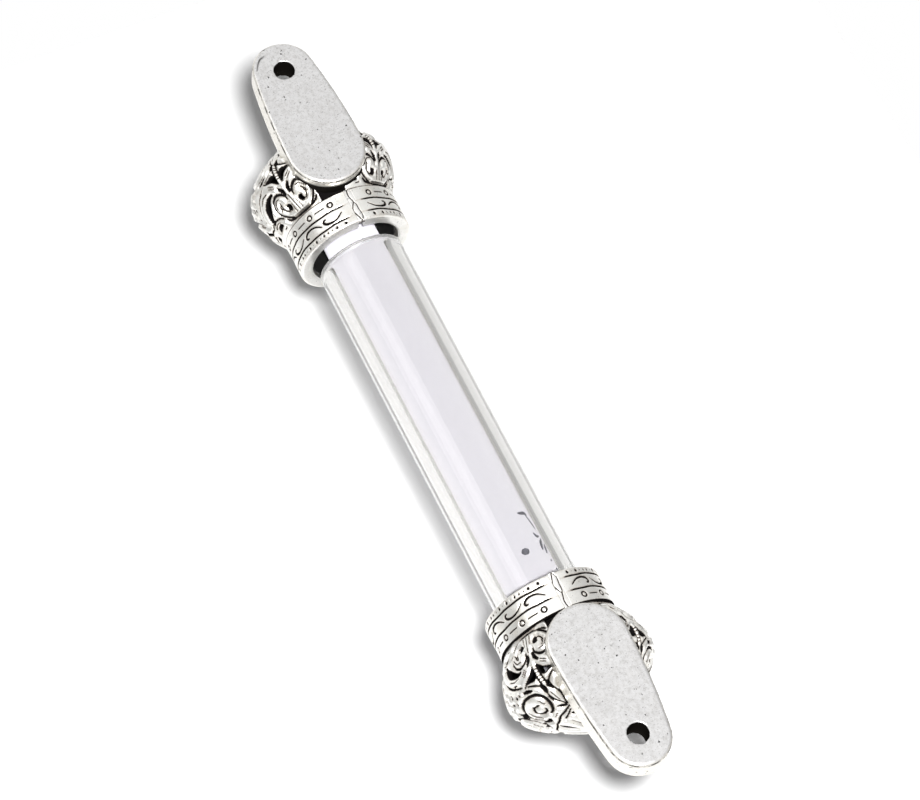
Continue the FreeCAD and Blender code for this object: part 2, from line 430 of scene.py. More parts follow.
# Openings right through the wall: (degrees from the stem, mm up from the collar, half width).
OPENINGS = (
    # the crescent between the big arch and the volute
    ((36, 3.1, 0.12), (32, 4.2, 0.46), (27, 5.2, 0.62), (22, 5.9, 0.46), (17.5, 6.35, 0.24),
     (13.5, 6.4, 0.08)),
    # the volute's eye
    ((7.9, 2.35, 0.26), (7.2, 2.75, 0.30), (8.6, 3.0, 0.12)),
    # the window beside the ladder, above the stem's fork
    ((12.6, 8.75, 0.06), (8.5, 8.65, 0.34), (5.2, 8.5, 0.55), (3.9, 7.9, 0.36), (2.6, 7.2, 0.10)),
    # a small window higher up beside the ladder
    ((3.4, 10.6, 0.20), (2.6, 11.2, 0.28), (3.6, 12.0, 0.10)),
    # the diamond between two spirals
    ((45, 10.9, 0.14), (45, 11.7, 0.42), (45, 12.5, 0.14)),
    ((45, 11.6, 0.30), (41.5, 11.9, 0.12)),
    # the leaf's almond slot
    ((39.5, 1.65, 0.05), (36, 1.9, 0.22), (32, 1.95, 0.20), (29.5, 1.75, 0.05)),
    # star gaps between the petals of the tip
    ((0, 17.9, 0.10), (0, 18.6, 0.40), (0, 20.6, 0.12)),
    ((45, 17.9, 0.10), (45, 18.6, 0.40), (45, 20.6, 0.12)),
    ((3.5, 18.2, 0.15), (7.5, 18.0, 0.08)),
    # beside the stem, under its fork
    ((2.6, 4.7, 0.08), (3.1, 5.5, 0.22), (5.2, 6.25, 0.08)),
    # between the spiral and the fork, and on both sides of the spiral's top
    ((20.5, 9.55, 0.08), (16.5, 9.85, 0.20), (13.0, 10.15, 0.08)),
    ((33, 15.7, 0.08), (39, 15.9, 0.20), (43.5, 15.3, 0.08)),
    ((9.5, 15.3, 0.06), (5.5, 15.7, 0.18), (2.0, 16.0, 0.08)),
)
# The fine pierced mesh between two big arches: places of small holes.
MESH_HOLES = (
    (45, 8.2, 0.40), (40, 9.5, 0.34), (40.5, 7.4, 0.32), (35.5, 8.4, 0.32), (35, 9.9, 0.22),
    (30.6, 9.2, 0.28), (45, 6.0, 0.30), (45, 9.9, 0.22), (42, 4.9, 0.16), (26.0, 9.3, 0.18),
)
# Cuts that stay shallow: outlines that part one band from the next.
OUTLINES = (
    # along the top of the big arch
    ((43, 3.8, 0.05), (40.5, 5.3, 0.09), (36, 6.5, 0.13), (30, 7.5, 0.15), (24, 8.2, 0.11),
     (18.5, 8.7, 0.06)),
    # over the volute
    ((19.5, 4.6, 0.07), (17, 5.3, 0.13), (12, 5.75, 0.19), (7.5, 5.4, 0.19), (4.3, 4.6, 0.11),
     (4.0, 3.9, 0.06)),
    # down the volute's outer side to the foot
    ((19.5, 4.6, 0.07), (21.3, 3.8, 0.11), (20.4, 2.6, 0.12), (16.5, 1.5, 0.12), (12.5, 0.85, 0.10)),
    # the base line
    ((0, 0.5, 0.10), (6, 0.5, 0.10), (12.5, 0.62, 0.10), (17.5, 0.95, 0.14), (20.0, 1.5, 0.10)),
    # inside the volute, the tail of its eye
    ((7.9, 2.4, 0.12), (11.5, 2.2, 0.07), (14.0, 3.0, 0.05), (12.8, 4.2, 0.05)),
    # the leaf's outline
    ((45, 3.0, 0.08), (40, 3.3, 0.09), (33, 3.2, 0.09), (26, 2.8, 0.10), (22.5, 2.2, 0.08)),
    # the ladder's side and the line from the window to the crown of the stem
    ((2.3, 7.0, 0.08), (2.2, 9.0, 0.07), (2.3, 10.6, 0.08)),
    ((13.2, 9.25, 0.08), (8.0, 9.9, 0.10), (3.5, 10.7, 0.10)),
    ((13.0, 8.7, 0.08), (16.5, 9.2, 0.05)),
    # the almond leaf over the ladder
    ((2.4, 11.0, 0.07), (4.6, 12.4, 0.09), (4.6, 13.8, 0.09), (1.5, 15.3, 0.07), (0, 15.9, 0.07)),
    # the big spiral, from its outer end to its heart
    ((37.5, 16.3, 0.14), (42.2, 14.4, 0.20), (41.5, 12.7, 0.24), (36.5, 11.2, 0.22), (28.5, 10.55, 0.19),
     (19.5, 10.65, 0.20), (12.5, 11.3, 0.24), (9.6, 12.5, 0.26), (11.2, 13.9, 0.24), (16.8, 15.05, 0.18),
     (22.5, 15.3, 0.12)),
    ((27.0, 12.4, 0.14), (31.2, 13.2, 0.20), (28.2, 14.3, 0.20), (22.4, 14.5, 0.14), (19.4, 13.9, 0.08)),
    ((25.5, 12.6, 0.10), (20.5, 12.75, 0.08)),
    # double line under the petals
    ((45, 17.2, 0.10), (36, 17.3, 0.12), (24, 17.0, 0.10), (12, 16.9, 0.12), (0, 16.5, 0.10)),
    ((24, 17.9, 0.07), (14, 17.7, 0.08), (4, 17.2, 0.07)),
    # a vein on each petal, and the ring at the very tip
    ((22.5, 18.8, 0.05), (22.5, 20.8, 0.12), (22.5, 21.9, 0.05)),
    ((0, 22.9, 0.08), (22.5, 22.9, 0.08), (45, 22.9, 0.08)),
)
# Light engraved ticks along the bands.
TICKS = (
    ((26.0, 7.6, 0.05), (21.0, 7.85, 0.06)),
    ((11.5, 7.3, 0.04), (7.5, 6.7, 0.05)),
    ((10.9, 7.7, 0.04), (7.2, 7.15, 0.05)),
    ((39.5, 4.9, 0.05), (36.0, 5.9, 0.05)),
    ((26.0, 1.0, 0.05), (30.0, 0.9, 0.05)),
    ((14.5, 3.9, 0.05), (16.0, 3.0, 0.05)),
    ((24.5, 16.2, 0.05), (17.0, 15.9, 0.05)),
    ((36.0, 15.0, 0.05), (38.2, 13.6, 0.06)),
    ((6.3, 12.8, 0.04), (6.3, 14.0, 0.05)),
    ((0.0, 12.2, 0.05), (0.0, 14.2, 0.05)),
    ((0.0, 1.3, 0.04), (0.0, 4.4, 0.05)),
    ((34.0, 12.2, 0.04), (35.2, 13.4, 0.05), (33.0, 14.6, 0.04)),
    ((15.0, 12.0, 0.04), (13.9, 13.2, 0.05)),
    ((16.5, 7.1, 0.04), (22.0, 7.1, 0.05), (27.5, 6.6, 0.04)),
    ((39.0, 2.4, 0.04), (33.0, 2.65, 0.05), (27.5, 2.25, 0.04)),
    ((10.0, 4.9, 0.04), (14.0, 4.8, 0.05), (17.3, 3.8, 0.04)),
    ((3.4, 1.3, 0.05), (3.0, 3.0, 0.05)),
)
# The light block left between the collar and the lug, beside the seam: from and to, in degrees.
BLOCK_DEG = (2.0, 25.0)
BLOCK_SOFT_DEG = 1.5
LADDER_RUNGS = (7.7, 8.3, 8.9, 9.5, 10.1)
LADDER_HALF_DEG = 2.0
RUNG_HALF_WIDTH = 0.07
# The metal runs on this far into the openings' drawn edges, under the lug's edge and into the lug.
RIM_INTO_OPENING = 0.16
UNDER_LUG = 0.8
INTO_LUG = 0.6
# The ring along the collar stays closed, and the inside ends in a small ring at the tip.
CLOSED_FOOT = 0.15
TIP_RING_R = 0.05
# An island with a smaller share of the casting's points is a loose crumb.
ISLAND_SHARE = 0.02


def crown_profile():
    """The crown's outline sampled evenly along its length: the length, radius, distance from the
    mouth, and the outward direction as (radial, axial)."""
    dense = smooth_through(CROWN_OUTLINE, 0.02)
    steps = np.hypot(*np.diff(dense, axis=0).T)
    length = np.concatenate([[0], np.cumsum(steps)])
    t = np.linspace(0, length[-1], CROWN_ROWS)
    radius = np.interp(t, length, dense[:, 0])
    along = np.interp(t, length, dense[:, 1])
    slope_r = np.gradient(radius, t)
    slope_s = np.gradient(along, t)
    size = np.hypot(slope_r, slope_s)
    return t, radius, along, slope_s / size, -slope_r / size


def nearest(strokes, angle, along, radius):
    """The distance outside the nearest of several strokes."""
    found = np.full(angle.shape, FAR)
    for stroke in strokes:
        found = np.minimum(found, cut_distance(stroke, angle, along, radius))
    return found


def half_cell(t, radius):
    """The pattern over one half-cell: how far each place is from an opening, from an outline and
    from a tick."""
    angle = np.linspace(0, HALF_CELL_DEG, HALF_CELL_COLUMNS + 1)
    angle, along = np.meshgrid(angle, t)
    at_radius = np.repeat(radius[:, None], HALF_CELL_COLUMNS + 1, axis=1)
    through = nearest(OPENINGS, angle, along, at_radius) - OPENING_BOLDER
    per_degree = at_radius * math.pi / 180
    for a, s, w in MESH_HOLES:
        reach = np.hypot((angle - a) * per_degree, along - s)
        lobes = 1 + 0.25 * np.cos(3 * np.arctan2(along - s, (angle - a) * per_degree) + a)
        through = np.minimum(through, reach - w * lobes)
    outline = nearest(OUTLINES, angle, along, at_radius) - OUTLINE_BOLDER
    tick = nearest(TICKS, angle, along, at_radius) - TICK_BOLDER
    for rung in LADDER_RUNGS:
        beside = (angle - LADDER_HALF_DEG) * per_degree
        tick = np.minimum(tick, np.maximum(np.abs(along - rung) - RUNG_HALF_WIDTH, beside))
    return through, outline, tick


def all_round(half):
    """Mirrors a half-cell's numbers round the whole crown, one column per step."""
    there = half[:, :-1]
    back = half[:, :0:-1]
    return np.concatenate([there, back] * 4, axis=1)


def lug_outline_distance(x, s):
    """How far a place behind the lug is outside the lug's outline."""
    centre = LUG_INNER_END + LUG_INNER_R
    sides = np.interp(s, [centre, 22.0, 32.0], [LUG_INNER_R, 6.3, 5.2])
    return np.where(s < centre, np.hypot(x, s - centre) - LUG_INNER_R, np.abs(x) - sides)


def pierced_shell(outer, inner, metal):
    """A closed mesh from two layers of the same grid, which closes on itself round its columns.
    metal is above 0 where there is metal; the rim of each opening follows its zero line."""
    rows, columns = metal.shape
    vertices = np.concatenate([outer.reshape(-1, 3), inner.reshape(-1, 3)])
    layer = rows * columns
    extra_outer = []
    extra_inner = []
    crossings = {}
    faces = []
    walls = []

    def crossing(a, b):
        key = (a, b) if a < b else (b, a)
        if key not in crossings:
            fa, fb = metal.flat[key[0]], metal.flat[key[1]]
            u = min(max(fa / (fa - fb), 0.04), 0.96)
            crossings[key] = len(extra_outer)
            for store, base in ((extra_outer, 0), (extra_inner, layer)):
                store.append(vertices[key[0] + base] * (1 - u) + vertices[key[1] + base] * u)
        return crossings[key]

    for row in range(rows - 1):
        for column in range(columns):
            right = (column + 1) % columns
            corners = [row * columns + column, row * columns + right,
                       (row + 1) * columns + right, (row + 1) * columns + column]
            inside = [metal.flat[c] > 0 for c in corners]
            if all(inside):
                faces.append([("v", c) for c in corners])
                continue
            if not any(inside):
                continue
            ring = []
            cuts = []
            for k in range(4):
                here, after = corners[k], corners[(k + 1) % 4]
                if inside[k]:
                    ring.append(("v", here))
                if inside[k] != inside[(k + 1) % 4]:
                    index = crossing(here, after)
                    ring.append(("x", index))
                    cuts.append((index, inside[k]))
            faces.append(ring)
            for k, (index, leaving) in enumerate(cuts):
                if leaving:
                    walls.append((index, cuts[(k + 1) % len(cuts)][0]))

    first_extra = 2 * layer
    count = len(extra_outer)
    top = {"v": 0, "x": first_extra}
    under = {"v": layer, "x": first_extra + count}
    made = [[top[kind] + i for kind, i in ring] for ring in faces]
    made += [[under[kind] + i for kind, i in reversed(ring)] for ring in faces]
    made += [[first_extra + b, first_extra + a, first_extra + count + a, first_extra + count + b]
             for a, b in walls]
    for row, flip in ((0, True), (rows - 1, False)):
        for column in range(columns):
            a = row * columns + column
            b = row * columns + (column + 1) % columns
            if metal.flat[a] > 0 and metal.flat[b] > 0:
                quad = [a, b, b + layer, a + layer]
                made.append(quad if flip else quad[::-1])
    every = np.concatenate([vertices, np.array(extra_outer), np.array(extra_inner)])
    return every, made


def drop_loose(piece):
    """Removes unused vertices and any island of faces too small to be part of the casting."""
    work = bmesh.new()
    work.from_mesh(piece.data)
    bmesh.ops.delete(work, geom=[v for v in work.verts if not v.link_faces], context="VERTS")
    total = len(work.verts)
    left = set(work.verts)
    while left:
        start = left.pop()
        island, front = {start}, [start]
        while front:
            for edge in front.pop().link_edges:
                for other in edge.verts:
                    if other not in island:
                        island.add(other)
                        front.append(other)
        left -= island
        if len(island) < ISLAND_SHARE * total:
            bmesh.ops.delete(work, geom=list(island), context="VERTS")
    work.to_mesh(piece.data)
    work.free()


def crown_height(t, through, outline, tick):
    """The relief: how far the surface lies off the crown's outline."""
    height = -RELIEF * (1 - ramp(np.minimum(through, outline), 0.0, ROUNDING))
    height -= OPENING_DEPTH * ramp(-through, 0.0, 0.30)
    height -= OUTLINE_DEPTH * ramp(-outline, -0.05, 0.14)
    height -= TICK_DEPTH * (1 - ramp(tick, -0.03, 0.10))
    return height * (ramp(t, -0.4, 0.5) * 0.6 + 0.4)


def crown_soot(t, through, outline, tick, beside_lug):
    """The black left in the cuts, beside the lug and along the collar, from 0 to 1."""
    patina_and_shade = np.maximum(1 - ramp(outline, -0.10, 0.09), 1 - ramp(through, -0.05, 0.12))
    patina_and_shade = np.maximum(patina_and_shade, 0.9 * (1 - ramp(tick, -0.05, 0.09)))
    patina_and_shade = np.maximum(patina_and_shade, ramp(beside_lug, 0.1, 0.4))
    return np.maximum(patina_and_shade, 0.9 * (1 - ramp(t, 0.05, 0.30)))


def sunk_beside_lug(theta, along):
    """Where the crown is sunk between the collar and the lug, but for one light block, 0 to 1."""
    from_back = np.degrees(np.arctan2(np.sin(theta), np.cos(theta)))
    sunk = (1 - ramp(np.abs(from_back), 21.0, 24.0)) * (1 - ramp(along, 8.0, 8.6))
    block_start, block_end = BLOCK_DEG
    block = ramp(from_back, block_start, block_start + BLOCK_SOFT_DEG)
    block = block * (1 - ramp(from_back, block_end - BLOCK_SOFT_DEG, block_end))
    return sunk * (1 - block)


def clear_of_lug(theta, radius, along):
    """Above 0 where the crown isn't hidden by the lug, which takes its place there."""
    outside_lug = lug_outline_distance(radius * np.sin(theta), along)
    into_lug = AXIS_Y / MM + radius * np.cos(theta) + LUG_THICKNESS
    return np.where(into_lug > INTO_LUG, outside_lug + UNDER_LUG, FAR)


def crown(cap, material):
    """One cap's openwork bulb."""
    t, radius, along, out_r, out_s = crown_profile()
    through, outline, tick = (all_round(part) for part in half_cell(t, radius))
    columns = through.shape[1]
    # The stems stand at 45 degrees to the lug, so the first column is one of them.
    theta = np.radians(45 + np.arange(columns) * 360 / columns)[None, :]
    t, radius, along, out_r, out_s = (line[:, None] for line in (t, radius, along, out_r, out_s))
    beside_lug = sunk_beside_lug(theta, along)
    height = crown_height(t, through, outline, tick) - BESIDE_LUG_DEPTH * beside_lug
    metal = np.minimum(through + RIM_INTO_OPENING, clear_of_lug(theta, radius, along))
    metal = np.where(t < CLOSED_FOOT, 1.0, metal)
    outer = on_cap(cap, theta, radius + height * out_r, along + height * out_s)
    inner_r = np.maximum(radius - CROWN_WALL * out_r, TIP_RING_R)
    inner = on_cap(cap, theta, inner_r, np.maximum(along - CROWN_WALL * out_s, CROWN_FOOT))
    points, faces = pierced_shell(outer, inner, metal)
    piece = new_object(f"{cap}_crown_openwork", points, faces, [material])
    patina_and_shade = crown_soot(t, through, outline, tick, beside_lug)
    # After the outer layer's points come the inside's and the openings' rims, painted black: painted
    # shade.
    paint(piece, "patina_and_shade", np.concatenate([patina_and_shade.ravel(), np.ones(len(points) - patina_and_shade.size)]))
    drop_loose(piece)
    close_tip(piece)
    face_outwards(piece)
    return piece


def close_tip(piece):
    """Fills the two small rings left open at the crown's tip."""
    work = bmesh.new()
    work.from_mesh(piece.data)
    bmesh.ops.holes_fill(work, edges=[e for e in work.edges if e.is_boundary], sides=0)
    work.to_mesh(piece.data)
    work.free()


# ---------------------------------------------------------------------------------------------
# Collar: a band with three engraved rows, open at its seam.
# ---------------------------------------------------------------------------------------------
COLLAR_COLUMNS = 500
COLLAR_ROW_STEP = 0.11
HOOK_PITCH_DEG = 24.0
ROW_LINES = (3.85, 1.42)
LINE_HALF_WIDTH = 0.12
ENGRAVING_BOLDER = 0.035
RING_ROW = 5.05
HOOK_ROW = 2.62
DOT_ROW = 0.72
RING_R = 0.44
DASH_HALF_LENGTH = 0.85
DOT_PITCH_DEG = 5.0
# A hook like a fish hook lying on its side, in mm about its middle; the curl is at its left.
HOOK = (
    (-1.35, -0.42, 0.08), (-1.72, -0.35, 0.14), (-1.80, 0.05, 0.16), (-1.35, 0.45, 0.17),
    (-0.4, 0.62, 0.14), (0.7, 0.38, 0.10), (1.75, -0.32, 0.05),
)
HOOKS_PER_SIDE = 7
FIRST_RING_DEG = 21.0
DASH_HALF_WIDTH = 0.07
RING_HALF_WIDTH = 0.09
# The row of dots starts this far from the seam, in degrees.
DOTS_FROM_DEG = 14.0
ENGRAVING_DEPTH = 0.17
MOUTH_ROUND = 0.4
# The section's points over the mouth's rounding, and up to the bore behind the mouth's flat ring.
ROUND_POINTS = 6
MOUTH_POINTS = 14


def collar_engraving(angle, along):
    """The depth share of the engraving at each place of the band, 0 to 1. Angles are degrees from
    the seam, and the pattern is mirrored about it."""
    per_degree = COLLAR_R * math.pi / 180
    side = np.abs(angle)
    wobble = 0.05 * np.sin(np.radians(side * 7)) + 0.03 * np.sin(np.radians(side * 17 + 40))
    found = np.full(angle.shape, FAR)
    for line in ROW_LINES:
        found = np.minimum(found, np.abs(along - line - wobble) - LINE_HALF_WIDTH)
    half_dash = DASH_HALF_LENGTH / per_degree
    for k in range(HOOKS_PER_SIDE):
        ring = FIRST_RING_DEG + k * HOOK_PITCH_DEG
        away = np.hypot((side - ring) * per_degree, along - RING_ROW)
        found = np.minimum(found, np.abs(away - RING_R) - RING_HALF_WIDTH)
        between = ring + HOOK_PITCH_DEG / 2
        dash = [(between + end, RING_ROW, DASH_HALF_WIDTH) for end in (-half_dash, half_dash)]
        turn = 1 if k % 2 else -1
        centre = (k + 1) * HOOK_PITCH_DEG
        hook = [(centre - x / per_degree, HOOK_ROW + turn * y, w) for x, y, w in HOOK]
        for stroke in (dash, hook):
            found = np.minimum(found, cut_distance(stroke, side, along, COLLAR_R))
    to_dot = (side + DOT_PITCH_DEG / 2) % DOT_PITCH_DEG - DOT_PITCH_DEG / 2
    which = np.round(side / DOT_PITCH_DEG)
    dots = np.hypot(to_dot * per_degree, (along - DOT_ROW) * 0.8) - 0.10 - 0.09 * np.sin(which * 2.7)
    found = np.minimum(found, np.where(side > DOTS_FROM_DEG, dots, FAR))
    worn = ramp(side, 6.0, 16.0)
    return (1 - ramp(found - ENGRAVING_BOLDER, -0.09, 0.08)) * (0.1 + 0.9 * worn)


def collar_section():
    """The band's cross-section as a closed loop of (radius, distance from the mouth), from the
    crown end of the outside, over the mouth and back through the bore. Also how many of its
    points lie on the engraved outside."""
    outside = np.arange(COLLAR_LENGTH - 0.08, MOUTH_ROUND, -COLLAR_ROW_STEP)
    loop = [(COLLAR_R, s) for s in outside]
    for turn in np.radians(np.linspace(15, 90, ROUND_POINTS)):
        inwards = MOUTH_ROUND * (1 - math.cos(turn))
        loop.append((COLLAR_R - inwards, MOUTH_ROUND * (1 - math.sin(turn))))
    for radius in np.linspace(COLLAR_R - MOUTH_ROUND, COLLAR_BORE_R + 0.15, 7)[1:]:
        loop.append((radius, 0.0))
    ledge = COLLAR_LENGTH - SEAT_POCKET_DEPTH
    loop.append((COLLAR_BORE_R + 0.05, 0.04))
    loop += [(COLLAR_BORE_R, s) for s in (0.15, 2.5, 5.3, ledge)]
    loop.append((SEAT_POCKET_R, ledge))
    loop += [(r, COLLAR_LENGTH) for r in (SEAT_POCKET_R, 9.3, COLLAR_R - 0.12)]
    loop.append((COLLAR_R - 0.03, COLLAR_LENGTH - 0.03))
    return np.array(loop), len(outside)


def collar(cap, material):
    """One cap's engraved band."""
    loop, engraved = collar_section()
    start = SEAM_DEG + SEAM_HALF_DEG
    degrees = np.linspace(start, SEAM_DEG - SEAM_HALF_DEG + 360, COLLAR_COLUMNS)
    from_seam = degrees - SEAM_DEG
    from_seam = np.where(from_seam > 180, from_seam - 360, from_seam)
    section_r = np.repeat(loop[:, 0][:, None], COLLAR_COLUMNS, axis=1)
    section_s = np.repeat(loop[:, 1][:, None], COLLAR_COLUMNS, axis=1)
    angle = np.repeat(from_seam[None, :], len(loop), axis=0)
    depth = np.zeros(angle.shape)
    depth[:engraved] = collar_engraving(angle[:engraved], section_s[:engraved])
    uneven = 0.05 * np.sin(np.radians(angle * 3 + 20)) * np.sin(section_s * 1.1)
    uneven += 0.03 * np.sin(np.radians(angle * 8))
    uneven[engraved:] = 0
    section_r = section_r - ENGRAVING_DEPTH * depth + uneven
    points = on_cap(cap, np.radians(degrees)[None, :], section_r, section_s)
    rows, columns = angle.shape
    faces = []
    for row in range(rows):
        for column in range(columns - 1):
            a = row * columns + column
            b = ((row + 1) % rows) * columns + column
            faces.append((a, b, b + 1, a + 1))
    faces.append([row * columns for row in range(rows)])
    faces.append([row * columns + columns - 1 for row in range(rows)][::-1])
    patina_and_shade = depth ** 0.7
    # Painted shade: the bore beyond its first few millimetres, the seat's pocket and the crown end are
    # painted black
    patina_and_shade[engraved + MOUTH_POINTS:] = 1
    # Painted shade: the mouth's rounded edge is darkened and warmed a little
    near_mouth = slice(0, engraved + ROUND_POINTS - 2)
    mouth_painted_shade = 0.17 * (1 - ramp(section_s[near_mouth], 0.20, 0.60))
    patina_and_shade[near_mouth] = np.maximum(patina_and_shade[near_mouth], mouth_painted_shade)
    edge_line = 1 - ramp(COLLAR_LENGTH - section_s[:engraved], 0.06, 0.22)
    patina_and_shade[:engraved] = np.maximum(patina_and_shade[:engraved], edge_line)
    piece = new_object(f"{cap}_collar_band", points.reshape(-1, 3), faces, [material])
    paint(piece, "patina_and_shade", patina_and_shade.ravel())
    face_outwards(piece)
    return piece


# ---------------------------------------------------------------------------------------------
# The rest of the case
# ---------------------------------------------------------------------------------------------
TUBE_COLUMNS = 256
TUBE_END_ROUND = 0.3 * MM
TUBE_BORE_CHAMFER = 0.1 * MM
SHEET_OUTER_R = 5.0
SHEET_PITCH = 0.45
SHEET_THICKNESS = 0.28
SHEET_TURNS = 5
SHEET_STEPS_PER_TURN = 110
SHEET_ROWS = 60
PEN_STEP = 0.15
# Plain pen strokes on the sheet: (degrees from the wall side towards -X, height in mm, half width).
PEN_STROKES = (
    ((19, -21.8, 0.10), (26, -22.0, 0.28), (33, -22.1, 0.30), (37, -22.6, 0.08)),
    ((33, -22.4, 0.08), (38, -23.8, 0.12), (41, -25.3, 0.07)),
    ((30, -25.8, 0.10), (35, -26.6, 0.25), (41, -26.4, 0.10)),
    ((32, -29.2, 0.12), (36, -27.9, 0.26), (42, -27.0, 0.14)),
    ((38, -29.9, 0.10), (42, -28.8, 0.24), (45, -28.0, 0.10)),
    ((-4, -29.1, 0.40), (-1, -28.6, 0.62), (2, -28.0, 0.40)),
    ((37, -31.4, 0.18), (42, -31.0, 0.22)),
    ((41, -33.1, 0.18), (45, -32.6, 0.20)),
)
# A small flaw near the upper lug's tip, in mm from its hole.
CASTING_FLAW = ((2.0, 3.8, 0.04), (2.9, 3.5, 0.10), (3.7, 2.6, 0.07), (4.3, 1.6, 0.04))
LUG_VOXEL = 0.22 * MM
SEAM_ROWS = 64
SEAM_COLUMNS = 22


def lathe(name, section, material, columns):
    """A closed ring about the tube's axis from (radius, height) points in metres."""
    theta = np.linspace(0, 2 * math.pi, columns, endpoint=False)
    rows = len(section)
    points = [(r * math.sin(a), AXIS_Y + r * math.cos(a), z) for r, z in section for a in theta]
    faces = []
    for row in range(rows):
        for column in range(columns):
            right = (column + 1) % columns
            after = (row + 1) % rows
            faces.append((row * columns + column, row * columns + right,
                          after * columns + right, after * columns + column))
    made = new_object(name, points, faces, [material])
    face_outwards(made)
    return made


def tube(material):
    """The thick clear tube with softened ends."""
    low, high = tube_low.z, tube_high.z
    soft = TUBE_END_ROUND
    bore = TUBE_BORE_R * MM
    chamfer = TUBE_BORE_CHAMFER
    rounding = [(soft * (1 - math.cos(a)), soft * (1 - math.sin(a))) for a in np.radians((30, 60, 90))]
    section = [(TUBE_R, z) for z in np.linspace(low + soft, high - soft, 40)]
    section += [(TUBE_R - inwards, high - back) for inwards, back in rounding]
    section += [(bore + chamfer, high), (bore, high - chamfer)]
    section += [(bore, z) for z in np.linspace(high - 1 * MM, low + 1 * MM, 40)]
    section += [(bore, low + chamfer), (bore + chamfer, low)]
    section += [(TUBE_R - inwards, low + back) for inwards, back in reversed(rounding)]
    made = lathe("clear_tube_wall", section, material, TUBE_COLUMNS)
    height = np.array([v.co.z for v in made.data.vertices])
    from_end = np.minimum(height - low, high - height) / MM
    paint(made, "sawn", 1 - ramp(from_end, 0.0, 0.25))
    from_axis = np.array([math.hypot(v.co.x, v.co.y - AXIS_Y) for v in made.data.vertices])
    paint(made, "outside", ramp(from_axis / TUBE_R, 0.9, 0.95))
    return made


def sheet_radius(theta):
    """The radius of the sheet's outermost turn, whose free edge is at the front."""
    return SHEET_OUTER_R - SHEET_PITCH * (math.pi - theta) / (2 * math.pi)


def pen_stroke(stroke):
    """One stroke of ink, a very thin solid that follows the sheet."""
    dense = smooth_through([(SHEET_OUTER_R * math.radians(a), z, w) for a, z, w in stroke], PEN_STEP)
    ahead = np.gradient(dense[:, :2], axis=0)
    ahead /= np.linalg.norm(ahead, axis=1)[:, None]
    side = np.stack([-ahead[:, 1], ahead[:, 0]], axis=1)
    u = np.linspace(0, 1, len(dense))
    half_width = dense[:, 2] * np.sqrt(np.clip(u * (1 - u) * 12, 0.02, 1))
    lines = [dense[:, :2] + side * half_width[:, None] * k for k in (-1, -0.35, 0.35, 1)]
    flat = np.stack(lines, axis=1)
    theta = flat[..., 0] / SHEET_OUTER_R
    layers = [about_axis(theta, sheet_radius(theta) + lift, flat[..., 1]) for lift in (0.035, 0.015)]
    return slab(*layers)


def scroll(material, ink_material):
    """The rolled sheet: one long spiral with a small gap between its turns, and its pen strokes."""
    height = np.linspace(scroll_low.z, scroll_high.z, SHEET_ROWS)[:, None] / MM
    rolled = np.linspace(0, 2 * math.pi * SHEET_TURNS, SHEET_STEPS_PER_TURN * SHEET_TURNS)
    theta = math.pi - rolled
    skins = [about_axis(theta, sheet_radius(theta) - skin, height) for skin in (0.0, SHEET_THICKNESS)]
    points, faces = slab(*skins)
    sheet_faces = len(faces)
    for stroke in PEN_STROKES:
        stroke_points, stroke_faces = pen_stroke(stroke)
        faces += [tuple(len(points) + i for i in face) for face in stroke_faces]
        points = np.concatenate([points, stroke_points])
    made = new_object("rolled_sheet", points, faces, [material, ink_material])
    for face in made.data.polygons[sheet_faces:]:
        face.material_index = 1
    face_outwards(made)
    return made


def lug(cap, material):
    """The flat cast lug, remeshed finely, softened and made slightly uneven."""
    source = frame["nodes"][f"{cap}_lug"]
    made = bpy.data.objects.new(f"{cap}_lug_casting", source.data.copy())
    bpy.context.scene.collection.objects.link(made)
    made.matrix_world = source.matrix_world
    made.data.materials.clear()
    made.data.materials.append(material)
    remesh = made.modifiers.new("even", "REMESH")
    remesh.mode = "VOXEL"
    remesh.voxel_size = LUG_VOXEL
    soften = made.modifiers.new("soften", "SMOOTH")
    soften.factor = 0.5
    soften.iterations = 3
    graph = bpy.context.evaluated_depsgraph_get()
    mesh = bpy.data.meshes.new_from_object(made.evaluated_get(graph))
    made.modifiers.clear()
    made.data = mesh
    mesh.shade_smooth()
    place = np.empty(len(mesh.vertices) * 3)
    mesh.vertices.foreach_get("co", place)
    place = place.reshape(-1, 3)
    facing = np.array([v.normal.y for v in mesh.vertices])
    x, y, z = place.T / MM
    flat = ramp(y, -0.6, -0.1)
    uneven = 0.04 * np.sin(x * 0.33 + 1) * np.sin(z * 0.21)
    place[:, 1] -= flat * (0.06 + uneven) * MM
    mesh.vertices.foreach_set("co", place.ravel())
    hole_z = HOLE_HALF_SPACING if cap == "upper" else -HOLE_HALF_SPACING
    from_hole = np.hypot(x, z - hole_z) - HOLE_R
    # Painted shade: the hole's wall is painted black
    in_hole = (1 - ramp(from_hole, 0.05, 0.30)) * (1 - ramp(facing, 0.55, 0.95))
    away = ramp(from_hole, 0.5, 0.8)
    at_inner_end = 1 - ramp(np.abs(z) - MOUTH_Z / MM, 11.0, 14.0)
    rim_foot = ramp(-y, 1.0, 1.6) * at_inner_end
    patina_and_shade = np.maximum(in_hole, rim_foot)
    if cap == "upper":
        # On a circle of 1 mm, degrees(x) lies x mm along it, as cut_distance counts.
        stroke = [(math.degrees(across), up, w) for across, up, w in CASTING_FLAW]
        flaw = cut_distance(stroke, np.degrees(x), z - hole_z, 1.0)
        patina_and_shade = np.maximum(patina_and_shade, (1 - ramp(flaw, -0.05, 0.16)) * ramp(y, -0.8, -0.5))
    paint(made, "patina_and_shade", patina_and_shade)
    # edge: where the painted highlight goes, everywhere off the flat face
    paint(made, "edge", ramp(-facing, -0.97, -0.75) * away)
    paint(made, "line", ramp(facing, 0.02, 0.30) * (1 - ramp(facing, 0.55, 0.85)) * away)
    return made


